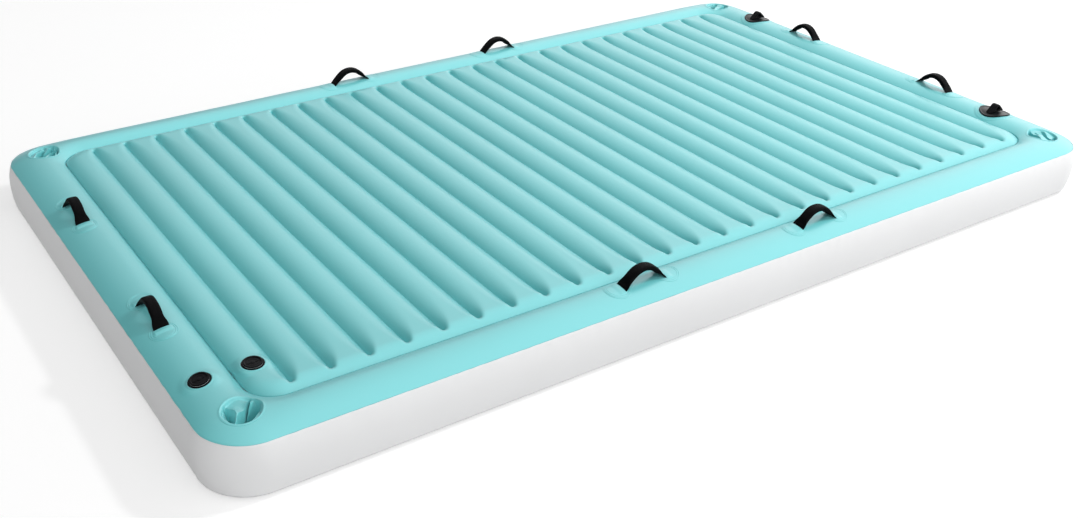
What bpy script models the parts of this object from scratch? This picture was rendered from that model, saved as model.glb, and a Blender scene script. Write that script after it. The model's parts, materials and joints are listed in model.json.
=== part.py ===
"""Inflatable floating lounge mat: a ribbed deck inside a ring chamber, with grab handles,
cup wells, screw valves and tow lugs.

Metres, +Z up. The origin is on the floor under the middle of the mat, and +X runs along
its length. On each edge, a frame of its own has s along the edge and u inwards from it.
"""

import math

import bmesh
import bpy
import numpy as np

# The mat
MAT_LENGTH = 3.10
MAT_WIDTH = 1.83
MAT_HEIGHT = 0.18
CORNER_RADIUS = 0.14
CORNER_STEPS = 8
SHEET = 0.001
GAP = 0.0003

# Ring chamber: its crowned top, its side wall between two seams, and its underside
END_RING_WIDTH = 0.161
SIDE_RING_WIDTH = 0.140
SEAM_DROP = 0.0275
SEAM_INSET = 0.012
LOWER_SEAM_HEIGHT = 0.014
LOWER_SEAM_INSET = 0.008
WALL_WIDEST_HEIGHT = 0.085
WALL_STEPS = 3
CROWN_SHARE = 0.65
RING_ROW_SHARES = (0, 0.1, 0.22, 0.35, 0.5, 0.65, 0.8, 0.92, 1)
RING_FOOT_START_SHARE = 0.24
RING_FOOT_END_SHARE = 0.76
RING_FOOT_ROW_SHARES = (0, 0.08, 0.15, 0.24, 0.76, 0.85, 0.92, 1)

# Deck chamber: ribs between channels that inner strips hold down, over a like underside
RIB_COUNT = 27
GROOVE_DEPTH = 0.032
GROOVE_RADIUS = 0.085
DECK_DROP = 0.003
RIB_COLUMN_SHARES = (0, 0.25, 0.5, 0.75)
RIB_TIP_LENGTH = 0.030
RIB_END_LENGTH = 0.075
RIB_TIP_LIFT_SHARE = 0.3
RIB_TIP_CROWN_SHARE = 0.45
UNDER_CHANNEL_HEIGHT = 0.024
UNDER_END_LENGTH = 0.060
STRIP_END_GAP = 0.020

# Cup wells, hung in the ring at the corners
CUP_INSET = 0.120
CUP_RIM_RADIUS = 0.050
CUP_FLOOR_RADIUS = 0.038
CUP_DEPTH = 0.104
CUP_LIP_DEPTH = 0.007
CUP_LIP_PROUD = 0.001
CUP_STEPS = 24

# Grab handles: a webbing strap, folded to a thick grip between its flat ends, that leans on the
# ridge of a welded foot patch at each end
SIDE_HANDLE_PLACE = 0.32
END_HANDLE_LUG_SPACING = 0.263
HANDLE_INSET = 0.083
HANDLE_SPAN = 0.112
HANDLE_RISE = 0.037
HANDLE_LEG_SLOPE = math.radians(40)
HANDLE_STEPS = 10
STRAP_WIDTH = 0.040
STRAP_THICKNESS = 0.003
GRIP_FOLD_WIDTH = 0.028
GRIP_FOLD_THICKNESS = 0.014
FOLD_CORNER_SHARE = 0.6
FLARE_SHARES = (0, 0.35, 0.7)
LEAN_ANGLE = math.radians(25)
LEAN_SLACK = math.radians(1)
RIDGE_THICKNESS = 0.007
PATCH_HALF_LENGTH = 0.038
PATCH_HALF_WIDTH = 0.037
PATCH_THICKNESS = 0.002
PATCH_OFFSET = 0.026
PATCH_COLUMN_SHARES = (-1, -0.6, 0, 0.6, 1)

# Valves: a socket welded into the skin, a screw cap on a seal, and a one-way flap below
RING_VALVE_INSET = 0.081
VALVE_CORNER_INSET = 0.271
VALVE_STEPS = 20
FLANGE_RADIUS = 0.0285
FLANGE_THICKNESS = 0.0016
BORE_RADIUS = 0.0195
BARREL_WALL = 0.002
BARREL_LENGTH = 0.020
SEAT_THICKNESS = 0.002
SEAT_HOLE_RADIUS = 0.013
SPOKE_WIDTH = 0.006
STEM_RADIUS = 0.0014
STEM_CLEARANCE = 0.0004
FLAP_LIP = 0.0025
FLAP_THICKNESS = 0.0008
FLAP_TRAVEL = 0.004
BULB_LIP = 0.0013
BULB_LENGTH = 0.003
SEAL_THICKNESS = 0.001
THREAD_CLEARANCE = 0.0006
CAP_LIP = 0.0045
CAP_HEIGHT = 0.0034
CAP_RECESS = 0.0022
CAP_RIM = 0.005
CAP_EDGE = 0.0006
BOSS_RADIUS = 0.006
PLUG_LENGTH = 0.010
PLUG_WALL = 0.0024
GRIP_WIDTH = 0.006

# Tow lugs: a round rubber base with a raised eye for a rope
LUG_CORNER_INSET = 0.332
LUG_INSET = 0.090
LUG_BASE_RADIUS = 0.051
LUG_BASE_THICKNESS = 0.003
LUG_EYE_RADIUS = 0.0135
LUG_EYE_HEIGHT = 0.0145
LUG_EYE_THICKNESS = 0.024
LUG_FOOT_HALF_LENGTH = 0.035
LUG_HOLE_RADIUS = 0.007
LUG_STEPS = 16

OVERRUN = 0.02

# What follows from the sizes above
HALF_LENGTH = MAT_LENGTH / 2
HALF_WIDTH = MAT_WIDTH / 2
LUG_PLACE = HALF_WIDTH - LUG_CORNER_INSET
END_HANDLE_PLACE = LUG_PLACE - END_HANDLE_LUG_SPACING
SEAM_HEIGHT = MAT_HEIGHT - SEAM_DROP
GROOVE_HEIGHT = MAT_HEIGHT - GROOVE_DEPTH
DECK_HEIGHT = MAT_HEIGHT - DECK_DROP
GROOVE_X = HALF_LENGTH - END_RING_WIDTH
GROOVE_Y = HALF_WIDTH - SIDE_RING_WIDTH
RIB_PITCH = 2 * GROOVE_X / RIB_COUNT


def clear_scene():
    for old in list(bpy.data.objects):
        bpy.data.objects.remove(old)


def finish(name, colour, roughness):
    """One material, from the base colour and the roughness that the piece shows."""
    made = bpy.data.materials.new(name)
    made.use_nodes = True
    shader = made.node_tree.nodes["Principled BSDF"]
    shader.inputs["Base Color"].default_value = (*colour, 1)
    shader.inputs["Roughness"].default_value = roughness
    shader.inputs["Metallic"].default_value = 0
    return made


def add_mesh(name, points, faces, slot, parent=None, place=(0, 0, 0)):
    """One object from points and faces, its faces turned outwards, smooth up to its sharp edges."""
    mesh = bpy.data.meshes.new(name)
    mesh.from_pydata([tuple(map(float, point)) for point in points], [], faces)
    shape = bmesh.new()
    shape.from_mesh(mesh)
    bmesh.ops.remove_doubles(shape, verts=shape.verts, dist=GAP / 30)
    bmesh.ops.recalc_face_normals(shape, faces=shape.faces)
    shape.to_mesh(mesh)
    shape.free()
    mesh.shade_smooth()
    mesh.set_sharp_from_angle(angle=math.radians(40))
    made = bpy.data.objects.new(name, mesh)
    bpy.context.collection.objects.link(made)
    made.parent = parent
    made.location = place
    if slot:
        mesh.materials.append(slot)
    else:
        made.hide_render = True
        made.display_type = "WIRE"
    return made


def boolean(target, tool, operation):
    cut = target.modifiers.new(tool.name, "BOOLEAN")
    cut.operation = operation
    cut.object = tool


def shell_faces(columns, outside_rows, inside_rows, loop):
    """Faces of a thin wall: its outside grid, its inside grid, its two long rims and, unless
    it closes on itself, its two ends. An end is a row of quads where both grids have as many
    rows, and else one flat face. Points run down each column, outside first."""
    faces = []
    inside = columns * outside_rows
    steps = columns if loop else columns - 1
    for i in range(steps):
        k = (i + 1) % columns
        for j in range(outside_rows - 1):
            a, b = i * outside_rows + j, k * outside_rows + j
            faces.append((a, b, b + 1, a + 1))
        for j in range(inside_rows - 1):
            a, b = inside + i * inside_rows + j, inside + k * inside_rows + j
            faces.append((a + 1, b + 1, b, a))
        for end, low in ((0, 0), (outside_rows - 1, inside_rows - 1)):
            faces.append(
                (
                    i * outside_rows + end,
                    inside + i * inside_rows + low,
                    inside + k * inside_rows + low,
                    k * outside_rows + end,
                )
            )
    if not loop:
        for i in (0, columns - 1):
            outer = [i * outside_rows + j for j in range(outside_rows)]
            inner = [inside + i * inside_rows + j for j in range(inside_rows)]
            if outside_rows == inside_rows:
                faces += zip(outer, outer[1:], inner[1:], inner)
            else:
                faces.append(tuple(outer + inner[::-1]))
    return faces


def add_shell(name, outside, inside, slot, loop=True):
    """A thin wall between two grids of points, each an array of columns by rows by three."""
    points = np.concatenate([outside.reshape(-1, 3), inside.reshape(-1, 3)])
    faces = shell_faces(len(outside), outside.shape[1], inside.shape[1], loop)
    return add_mesh(name, points, faces, slot)


def turned(profile, steps):
    """Points and faces of a profile of (radius, height) turned about Z; its ends on the axis close."""
    angles = np.linspace(0, 2 * math.pi, steps, endpoint=False)
    points = [
        (radius * math.cos(angle), radius * math.sin(angle), height)
        for angle in angles
        for radius, height in profile
    ]
    rows = len(profile)
    faces = []
    for i in range(steps):
        k = (i + 1) % steps
        for j in range(rows):
            a, b = i * rows + j, k * rows + j
            c, d = k * rows + (j + 1) % rows, i * rows + (j + 1) % rows
            faces.append((a, b, c, d))
    return points, faces


def prism(outline, low, high, axis=1):
    """A flat outline of two-number points carried from low to high along an axis."""
    points = []
    for level in (low, high):
        for first, second in outline:
            point = [first, second]
            point.insert(axis, level)
            points.append(tuple(point))
    count = len(outline)
    faces = [tuple(range(count)), tuple(range(2 * count - 1, count - 1, -1))]
    for i in range(count):
        k = (i + 1) % count
        faces.append((i, k, k + count, i + count))
    return points, faces


def four_corners(corner):
    """A closed loop from the points of its +X +Y corner, which run from the end to the side."""
    corner = np.asarray(corner)
    left = corner[::-1] * (-1, 1)
    return np.concatenate([corner, left, -corner, -left])


def outer_loop(inset):
    """The plan of the mat's edge, drawn in by inset, with a true arc at each corner."""
    radius = CORNER_RADIUS - inset
    angles = np.linspace(0, math.pi / 2, CORNER_STEPS + 1)
    x = HALF_LENGTH - CORNER_RADIUS + radius * np.cos(angles)
    y = HALF_WIDTH - CORNER_RADIUS + radius * np.sin(angles)
    return four_corners(np.stack([x, y], axis=1))


def groove_edge(depth, growth):
    """How far the groove's plan reaches in Y at a depth in from its end; growth moves it outwards."""
    radius = GROOVE_RADIUS + growth
    within = np.maximum(radius - depth, 0)
    return GROOVE_Y + growth - radius + np.sqrt(radius**2 - within**2)


def groove_loop(growth):
    """The plan of the groove, with corner points where the first rib has its columns."""
    depths = np.append(np.array(RIB_COLUMN_SHARES), 1) * RIB_PITCH
    ends = np.stack([GROOVE_X + growth - depths, groove_edge(depths, growth)], axis=1)
    middles = (ends[1:] + ends[:-1]) / 2
    corner = np.empty((2 * len(ends) - 1, 2))
    corner[0::2] = ends
    corner[1::2] = middles
    return four_corners(corner)


def ring_height(share):
    """Height of the ring's top, from its outer seam at 0 over its crown to the groove at 1."""
    share = np.asarray(share, float)
    outer = (CROWN_SHARE - share) / CROWN_SHARE
    inner = (share - CROWN_SHARE) / (1 - CROWN_SHARE)
    rise = MAT_HEIGHT - SEAM_HEIGHT
    on_outside = MAT_HEIGHT - rise * outer**2
    on_inside = MAT_HEIGHT - GROOVE_DEPTH * inner**2
    return np.where(share < CROWN_SHARE, on_outside, on_inside)


def faceted_ring_height(inset, ring_width):
    """Height of the ring's flat facets at an inset from the edge, on a straight stretch."""
    shares = np.array(RING_ROW_SHARES)
    insets = SEAM_INSET + shares * (ring_width - GAP / 2 - SEAM_INSET)
    return np.interp(inset, insets, ring_height(shares))


def ring_foot_height(share):
    """Height of the ring's underside: two quarter curves, and flat on the floor between."""
    share = np.asarray(share, float)
    outer = np.maximum(1 - share / RING_FOOT_START_SHARE, 0)
    inner = np.maximum(share - RING_FOOT_END_SHARE, 0) / (1 - RING_FOOT_END_SHARE)
    return LOWER_SEAM_HEIGHT * outer**2 + UNDER_CHANNEL_HEIGHT * inner**2


def loft(outer, inner, shares, heights):
    """A grid between two plans: each row lies a share of the way across, at its height."""
    grid = np.empty((len(outer), len(shares), 3))
    for row, (share, height) in enumerate(zip(shares, heights)):
        grid[:, row, :2] = outer * (1 - share) + inner * share
        grid[:, row, 2] = height
    return grid


def add_ring_skins(aqua):
    """The ring's top in eight sheets: one for each corner, around its cup hole, and one for each
    edge between them. Returns them by corner number and by edge name."""
    shares = np.array(RING_ROW_SHARES)
    top = loft(outer_loop(SEAM_INSET), groove_loop(GAP / 2), shares, ring_height(shares))
    corners = top.reshape(4, -1, *top.shape[1:])
    skins = {}
    for turn, (number, edge) in enumerate(((3, "far"), (4, "left"), (1, "near"), (2, "right"))):
        corner, following = corners[turn], corners[(turn + 1) % 4]
        run = following[0] - corner[-1]
        step = run * GAP / np.linalg.norm(run, axis=1).min()
        straight = np.stack([corner[-1] + step, following[0] - step])
        for key, sheet in ((number, corner), (edge, straight)):
            name = f"ring_skin_{key}" if key == edge else f"ring_skin_corner_{key}"
            skins[key] = add_shell(name, sheet, sheet - (0, 0, SHEET), aqua, loop=False)
    return skins


def add_ring_walls(white):

    upper_part = np.linspace(SEAM_HEIGHT - SHEET - GAP, WALL_WIDEST_HEIGHT, WALL_STEPS + 1)
    lower_part = np.linspace(WALL_WIDEST_HEIGHT, LOWER_SEAM_HEIGHT + SHEET + GAP, WALL_STEPS + 1)
    heights = np.append(upper_part, lower_part[1:])
    upper = np.maximum(heights - WALL_WIDEST_HEIGHT, 0) / (SEAM_HEIGHT - WALL_WIDEST_HEIGHT)
    lower = np.maximum(WALL_WIDEST_HEIGHT - heights, 0) / (WALL_WIDEST_HEIGHT - LOWER_SEAM_HEIGHT)
    insets = SEAM_INSET * upper**2 + LOWER_SEAM_INSET * lower**2
    outside, inside = (
        np.stack(
            [np.insert(outer_loop(inset + wall), 2, height, axis=1) for inset, height in zip(insets, heights)],
            axis=1,
        )
        for wall in (0, SHEET)
    )
    add_shell("side_wall", outside, inside, white)

    shares = np.array(RING_FOOT_ROW_SHARES)
    heights = ring_foot_height(shares)
    foot = loft(outer_loop(LOWER_SEAM_INSET), groove_loop(GAP / 2), shares, heights)
    add_shell("ring_underside", foot, foot + (0, 0, SHEET), white)


def rib_arc(share, depth):
    """A circular arc over one rib, as a share of its depth: 0 at both channels, 1 at the crown."""
    radius = (RIB_PITCH**2 / 4 + depth**2) / (2 * depth)
    away = (np.asarray(share) - 0.5) * RIB_PITCH
    return 1 - (radius - np.sqrt(radius**2 - away**2)) / depth


def rib_columns():
    """Where across the deck the columns of all its ribs lie, and each one's share of its rib."""
    within = np.append(np.tile(RIB_COLUMN_SHARES, RIB_COUNT), 0)
    rib = np.append(np.repeat(np.arange(RIB_COUNT), len(RIB_COLUMN_SHARES)), RIB_COUNT)
    place = (rib + within) * RIB_PITCH - GROOVE_X
    return place, within


def deck_grid(place, insets, heights):
    """A grid of deck points: rows at insets from the groove, on both sides of the middle."""
    depth = np.minimum(place + GROOVE_X, GROOVE_X - place)
    edge = groove_edge(np.maximum(depth, 0), -GAP / 2)
    rows = [edge - inset for inset in insets] + [inset - edge for inset in insets[::-1]]
    levels = list(heights) + list(heights[::-1])
    shrink = 1 - GAP / 2 / GROOVE_X
    grid = [np.stack([place * shrink, row, level], axis=1) for row, level in zip(rows, levels)]
    return np.stack(grid, axis=1)


def add_deck_chamber(aqua, white):
    place, within = rib_columns()
    depth = DECK_HEIGHT - GROOVE_HEIGHT
    arc = rib_arc(within, depth)
    between_ends = (place > place[0]) & (place < place[-1])
    tip = (RIB_TIP_LIFT_SHARE + RIB_TIP_CROWN_SHARE * arc) * between_ends
    flat = np.full(len(place), GROOVE_HEIGHT)
    rows = (0, RIB_TIP_LENGTH, RIB_END_LENGTH)
    top = deck_grid(place, rows, (flat, flat + depth * tip, flat + depth * arc))
    below = top[:, (0, 2, 3, 5)] - (0, 0, SHEET)
    deck_skin = add_shell("deck_skin", top, below, aqua, loop=False)

    flat = np.full(len(place), UNDER_CHANNEL_HEIGHT)
    foot = np.where(within == 0, UNDER_CHANNEL_HEIGHT, 0)
    under = deck_grid(place, (0, UNDER_END_LENGTH), (flat, foot))
    add_shell("deck_underside", under, under + (0, 0, SHEET), white, loop=False)
    return deck_skin


def add_chamber_wall(white):
    """The upright wall between the two chambers, welded under the groove all round."""
    heights = (GROOVE_HEIGHT - SHEET - GAP, UNDER_CHANNEL_HEIGHT + SHEET + GAP)
    outside, inside = (
        np.stack([np.insert(groove_loop(side * SHEET / 2), 2, height, axis=1) for height in heights], axis=1)
        for side in (1, -1)
    )
    add_shell("chamber_wall", outside, inside, white)


def add_deck_strips(white):
    """The upright strips under the channels, which hold the deck flat, on one shared base ply."""
    low = UNDER_CHANNEL_HEIGHT + SHEET + GAP
    high = GROOVE_HEIGHT - SHEET - GAP
    margin = RIB_PITCH / 3
    channels = np.arange(1, RIB_COUNT) * RIB_PITCH - GROOVE_X
    sides = np.stack([channels - SHEET / 2, channels + SHEET / 2], axis=1).ravel()
    stations = np.concatenate([[channels[0] - margin], sides, [channels[-1] + margin]])
    half = GROOVE_Y - RIB_END_LENGTH - STRIP_END_GAP
    points, faces = [], []
    for station in stations:
        for height in (low, low + SHEET, high):
            points += [(station, -half, height), (station, half, height)]
    for i in range(len(stations) - 1):
        here, there = 6 * i, 6 * (i + 1)
        strip = i % 2
        top = 4 if strip else 2
        faces.append((here, there, there + 1, here + 1))
        faces.append((here + top, here + top + 1, there + top + 1, there + top))
        for side in (0, 1):
            for level in range(0, top, 2):
                first, second = here + side + level, there + side + level
                faces.append((first, first + 2, second + 2, second))
        if strip:
            faces.append((here + 2, here + 3, here + 5, here + 4))
            faces.append((there + 2, there + 4, there + 5, there + 3))
    last = 6 * (len(stations) - 1)
    for end in (0, last):
        faces.append((end, end + 1, end + 3, end + 2))
    add_mesh("deck_strips", points, faces, white)


def ring_share(x, y):
    """Share of the way from the seam to the groove at a place in plan, by its distance to each."""

    def outside(half_x, half_y, radius):
        over_x = abs(x) - (half_x - radius)
        over_y = abs(y) - (half_y - radius)
        beyond = math.hypot(max(over_x, 0), max(over_y, 0))
        return beyond + min(max(over_x, over_y), 0) - radius

    seam = -outside(HALF_LENGTH - SEAM_INSET, HALF_WIDTH - SEAM_INSET, CORNER_RADIUS - SEAM_INSET)
    groove = outside(GROOVE_X, GROOVE_Y, GROOVE_RADIUS)
    return seam / (seam + groove)


def cup_places():
    x, y = HALF_LENGTH - CUP_INSET, HALF_WIDTH - CUP_INSET
    return [(-x, -y), (x, -y), (x, y), (-x, y)]


def add_cup_well(number, place, aqua):
    """A tapered well with a closed floor, whose lip follows the ring's top around its hole."""
    rim = CUP_RIM_RADIUS - GAP
    floor_height = float(ring_height(ring_share(*place))) - CUP_DEPTH
    columns = []
    for angle in np.linspace(0, 2 * math.pi, CUP_STEPS, endpoint=False):
        x, y = math.cos(angle), math.sin(angle)
        lip = float(ring_height(ring_share(place[0] + rim * x, place[1] + rim * y)))
        profile = (
            (0, floor_height),
            (CUP_FLOOR_RADIUS, floor_height),
            (rim, lip - CUP_LIP_DEPTH),
            (rim, lip + CUP_LIP_PROUD),
            (rim - 2 * SHEET, lip + CUP_LIP_PROUD),
            (rim - SHEET, lip - CUP_LIP_DEPTH),
            (CUP_FLOOR_RADIUS - SHEET, floor_height + SHEET),
            (0, floor_height + SHEET),
        )
        columns.append([(radius * x, radius * y, height) for radius, height in profile])
    columns = np.array(columns)
    rows = columns.shape[1]
    faces = []
    for i in range(CUP_STEPS):
        k = (i + 1) % CUP_STEPS
        for j in range(rows - 1):
            faces.append((i * rows + j, k * rows + j, k * rows + j + 1, i * rows + j + 1))
    add_mesh(f"cup_well_{number}", columns.reshape(-1, 3), faces, aqua, place=(*place, 0))


def add_cylinder_cutter(name, radius, low, high, steps, parent=None, place=(0, 0, 0)):
    profile = ((0, low), (radius, low), (radius, high), (0, high))
    return add_mesh(name, *turned(profile, steps), None, parent, place)


def add_cup_wells(ring_skins, aqua):
    for number, place in enumerate(cup_places(), 1):
        add_cup_well(number, place, aqua)
        low, high = GROOVE_HEIGHT - OVERRUN, MAT_HEIGHT + OVERRUN
        hole = add_cylinder_cutter(f"cup_hole_{number}", CUP_RIM_RADIUS, low, high, CUP_STEPS, place=(*place, 0))
        boolean(ring_skins[number], hole, "DIFFERENCE")


def edge_frames():
    """An empty at the middle of each edge: X along the edge, Y inwards. Near, right, far, left."""
    frames = []
    for name, x, y, turn in (
        ("near", 0, -HALF_WIDTH, 0),
        ("right", HALF_LENGTH, 0, 1),
        ("far", 0, HALF_WIDTH, 2),
        ("left", -HALF_LENGTH, 0, 3),
    ):
        frame = bpy.data.objects.new(f"edge_{name}", None)
        bpy.context.collection.objects.link(frame)
        frame.location = (x, y, 0)
        frame.rotation_euler = (0, 0, turn * math.pi / 2)
        frames.append(frame)
    return frames


def moulded_pad(half_along, half_across, inset, thickness, ring_width):
    """Points and faces of an oval pad on the ring, centred at zero along the edge. Its rows
    lie on the ring's facet edges, so its underside follows the skin with a gap."""
    shares = np.array(RING_ROW_SHARES)
    facets = SEAM_INSET + shares * (ring_width - GAP / 2 - SEAM_INSET)
    reach = half_across * math.cos(math.asin(0.2))
    inner_rows = facets[(facets > inset - reach) & (facets < inset + reach)]
    rows = np.concatenate([[inset - reach], inner_rows, [inset + reach]])
    rows = np.sort(np.concatenate([rows, (rows[1:] + rows[:-1]) / 2]))
    half = half_along * np.sqrt(1 - ((rows - inset) / half_across) ** 2)
    columns = []
    for share in PATCH_COLUMN_SHARES:
        height = faceted_ring_height(rows, ring_width) + GAP
        columns.append(np.stack([half * share, rows, height], axis=1))
    low = np.array(columns)
    high = low + (0, 0, thickness)
    points = np.concatenate([high.reshape(-1, 3), low.reshape(-1, 3)])
    return points, shell_faces(len(low), len(rows), len(rows), loop=False)


def lean_axis_height(ring_width):
    """Height of a handle's axis, so that its strap's corner clears the pads as it leans."""
    half = STRAP_WIDTH / 2
    reach = np.linspace(HANDLE_INSET - half, HANDLE_INSET + half, 9)
    pad = faceted_ring_height(reach, ring_width) + GAP + PATCH_THICKNESS
    return float(pad.max()) + half * math.sin(LEAN_ANGLE) + 2 * GAP


def add_handle_foot(name, frame, place, side, ring_width, aqua):
    """The welded patch over a strap's end, with the ridge that the strap leans on."""
    along = place + side * (HANDLE_SPAN / 2 + PATCH_OFFSET)
    points, faces = moulded_pad(PATCH_HALF_LENGTH, PATCH_HALF_WIDTH, HANDLE_INSET, PATCH_THICKNESS, ring_width)
    patch = add_mesh(name, points, faces, aqua, frame, (along, 0, 0))

    half = STRAP_WIDTH / 2
    axis = lean_axis_height(ring_width)
    facets = SEAM_INSET + np.array(RING_ROW_SHARES) * (ring_width - GAP / 2 - SEAM_INSET)
    across = np.unique(np.concatenate([facets, [HANDLE_INSET - half, HANDLE_INSET, HANDLE_INSET + half]]))
    across = across[(across >= HANDLE_INSET - half) & (across <= HANDLE_INSET + half)]
    bottom = faceted_ring_height(across, ring_width) + GAP + PATCH_THICKNESS / 2
    slope = math.tan(LEAN_ANGLE + LEAN_SLACK)
    top = np.maximum(axis - GAP - abs(across - HANDLE_INSET) * slope, bottom + PATCH_THICKNESS / 4)
    outline = list(zip(across, bottom)) + list(zip(across[::-1], top[::-1]))
    start = place + side * HANDLE_SPAN / 2 - along
    points, faces = prism(outline, start - RIDGE_THICKNESS / 2, start + RIDGE_THICKNESS / 2, axis=0)
    ridge = add_mesh(f"{name}_ridge", points, faces, None, frame, (along, 0, 0))
    boolean(patch, ridge, "UNION")


def strap_section(share):
    """Eight points round the strap, as offsets across it and out of its line: share 0 is its
    flat end and share 1 its folded grip."""
    half_width = (STRAP_WIDTH + (GRIP_FOLD_WIDTH - STRAP_WIDTH) * share) / 2
    half_thickness = (STRAP_THICKNESS + (GRIP_FOLD_THICKNESS - STRAP_THICKNESS) * share) / 2
    corners = ((1, 1), (-1, 1), (-1, -1), (1, -1))
    points = []
    for side, face in corners:
        near = (side * half_width, face * half_thickness * FOLD_CORNER_SHARE)
        far = (side * half_width * FOLD_CORNER_SHARE, face * half_thickness)
        points += (near, far) if side == face else (far, near)
    return points


def add_handle(number, frame, place, ring_width, black, aqua):
    """A webbing strap, flat at its ends and folded to a thick grip between them, with two
    straight legs and a round top; its origin is on the axis it leans about."""
    half_span = HANDLE_SPAN / 2
    rise = HANDLE_RISE - GRIP_FOLD_THICKNESS / 2
    slope = HANDLE_LEG_SLOPE
    radius = (half_span * math.sin(slope) - rise * math.cos(slope)) / (1 - math.cos(slope))
    leg = (half_span - radius * math.sin(slope)) / math.cos(slope)
    line = [(-half_span + leg * share * math.cos(slope), leg * share * math.sin(slope), slope, share)
            for share in FLARE_SHARES]
    for angle in np.linspace(-slope, slope, HANDLE_STEPS + 1):
        line.append((radius * math.sin(angle), rise - radius + radius * math.cos(angle), -angle, 1))
    line += [(-along, height, -tilt, share) for along, height, tilt, share in line[len(FLARE_SHARES) - 1 :: -1]]
    points = []
    for along, height, tilt, share in line:
        for across, out in strap_section(share):
            if share == 0:
                points.append((along - math.copysign(out, tilt) / math.sin(slope), across, 0))
            else:
                points.append((along - out * math.sin(tilt), across, height + out * math.cos(tilt)))
    count = len(strap_section(0))
    faces = []
    for i in range(0, len(points) - count, count):
        for j in range(count):
            k = (j + 1) % count
            faces.append((i + j, i + k, i + count + k, i + count + j))
    faces += (tuple(range(count))[::-1], tuple(range(len(points) - count, len(points))))
    place_of_axis = (place, HANDLE_INSET, lean_axis_height(ring_width))
    add_mesh(f"handle_{number}", points, faces, black, frame, place_of_axis)
    for side, letter in ((-1, "a"), (1, "b")):
        add_handle_foot(f"handle_{number}_foot_{letter}", frame, place, side, ring_width, aqua)


def add_handles(frames, black, aqua):
    number = 1
    places = 2 * (SIDE_HANDLE_PLACE, END_HANDLE_PLACE)
    for frame, place, ring_width in zip(frames, places, 2 * (SIDE_RING_WIDTH, END_RING_WIDTH)):
        for side in (-1, 1):
            add_handle(number, frame, side * place, ring_width, black, aqua)
            number += 1


def add_valve(name, seat, skin, black, grey):
    """One valve about its seat's Z axis, whose zero is the underside of its flange."""
    barrel = BORE_RADIUS + BARREL_WALL
    floor = -BARREL_LENGTH + SEAT_THICKNESS
    socket_profile = (
        (FLANGE_RADIUS, 0),
        (FLANGE_RADIUS, FLANGE_THICKNESS - CAP_EDGE),
        (FLANGE_RADIUS - CAP_EDGE, FLANGE_THICKNESS),
        (BORE_RADIUS, FLANGE_THICKNESS),
        (BORE_RADIUS, floor),
        (SEAT_HOLE_RADIUS, floor),
        (SEAT_HOLE_RADIUS, -BARREL_LENGTH),
        (barrel, -BARREL_LENGTH),
        (barrel, 0),
    )
    socket = add_mesh(f"{name}_socket", *turned(socket_profile, VALVE_STEPS), black, seat)
    half_spoke = SPOKE_WIDTH / 2
    reach = (SEAT_HOLE_RADIUS + BORE_RADIUS) / 2
    thin = SEAT_THICKNESS / 8
    outline = ((-reach, -half_spoke), (reach, -half_spoke), (reach, half_spoke), (-reach, half_spoke))
    spoke = add_mesh(f"{name}_spoke", *prism(outline, -BARREL_LENGTH + thin, floor - thin, axis=2), None, seat)
    boolean(socket, spoke, "UNION")
    hub_radius = STEM_RADIUS + STEM_CLEARANCE
    stem_hole = add_cylinder_cutter(
        f"{name}_stem_hole", hub_radius, -BARREL_LENGTH - OVERRUN, floor + OVERRUN / 4, VALVE_STEPS, seat
    )
    boolean(socket, stem_hole, "DIFFERENCE")
    skin_hole = add_cylinder_cutter(
        f"{name}_skin_hole", barrel + GAP, -BARREL_LENGTH, OVERRUN, VALVE_STEPS, seat
    )
    boolean(skin, skin_hole, "DIFFERENCE")

    flap_top = -BARREL_LENGTH - GAP
    bulb = floor + FLAP_TRAVEL + 2 * GAP
    flap_profile = (
        (0, flap_top - FLAP_THICKNESS),
        (SEAT_HOLE_RADIUS + FLAP_LIP, flap_top - FLAP_THICKNESS),
        (SEAT_HOLE_RADIUS + FLAP_LIP, flap_top),
        (STEM_RADIUS, flap_top),
        (STEM_RADIUS, bulb),
        (STEM_RADIUS + BULB_LIP, bulb),
        (STEM_RADIUS, bulb + BULB_LENGTH),
        (0, bulb + BULB_LENGTH),
    )
    add_mesh(f"{name}_flap", *turned(flap_profile, VALVE_STEPS), grey, seat)

    seal_low = FLANGE_THICKNESS + GAP
    seal_high = seal_low + SEAL_THICKNESS
    plug = BORE_RADIUS - THREAD_CLEARANCE
    head = BORE_RADIUS + CAP_LIP
    seal_profile = (
        (BORE_RADIUS + GAP, seal_low),
        (head - GAP, seal_low),
        (head - GAP, seal_high),
        (BORE_RADIUS + GAP, seal_high),
    )
    add_mesh(f"{name}_seal", *turned(seal_profile, VALVE_STEPS), grey, seat)

    head_low = seal_high + GAP
    head_high = head_low + CAP_HEIGHT
    recess = head_high - CAP_RECESS
    cap_profile = (
        (0, head_high - CAP_EDGE),
        (BOSS_RADIUS - CAP_EDGE, head_high - CAP_EDGE),
        (BOSS_RADIUS, recess),
        (head - CAP_RIM, recess),
        (head - CAP_RIM + CAP_EDGE, head_high),
        (head - CAP_EDGE, head_high),
        (head, head_high - CAP_EDGE),
        (head, head_low),
        (plug, head_low),
        (plug, head_low - PLUG_LENGTH),
        (plug - PLUG_WALL, head_low - PLUG_LENGTH),
        (plug - PLUG_WALL, head_low),
        (0, head_low),
    )
    cap = add_mesh(f"{name}_cap", *turned(cap_profile, VALVE_STEPS), black, seat)
    half_grip = GRIP_WIDTH / 2
    reach = head - CAP_RIM / 2
    outline = ((-reach, -half_grip), (reach, -half_grip), (reach, half_grip), (-reach, half_grip))
    low, high = (head_low + recess) / 2, (recess + head_high) / 2
    grip = add_mesh(f"{name}_grip", *prism(outline, low, high, axis=2), None, seat)
    boolean(cap, grip, "UNION")


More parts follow.
